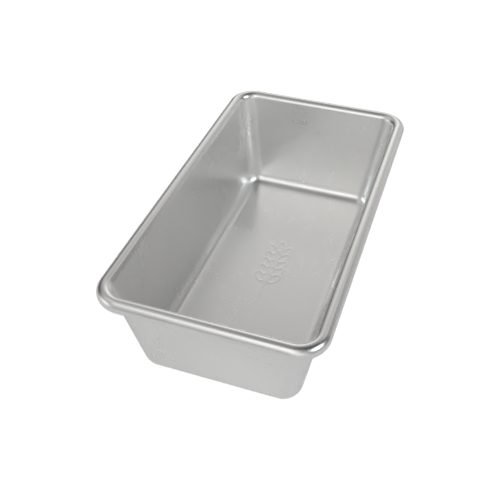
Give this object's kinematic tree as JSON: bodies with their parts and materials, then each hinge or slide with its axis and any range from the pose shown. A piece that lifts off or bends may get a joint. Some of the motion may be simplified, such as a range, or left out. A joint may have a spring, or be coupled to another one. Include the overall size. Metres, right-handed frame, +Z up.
{
  "type": "loaf pan",
  "caption": "Loaf pan for baking bread: one drawn aluminium sheet with leaning walls, rounded corners and an edge rolled round a steel rim wire.",
  "frame": {"origin": "centre of the underside of the floor, on the surface that the pan stands on", "axes": "+Z up, out of the pan's mouth; +Y along the pan's length; +X across its width"},
  "size_m": [0.1182, 0.219, 0.0634],
  "materials": {
    "satin_aluminium": "satin natural aluminium, fine even grain",
    "bright_steel": "galvanised wire, dull bright"
  },
  "bodies": {
    "root": {"pan_body": "satin_aluminium", "rim_wire": "bright_steel"}
  },
  "joints": []
}
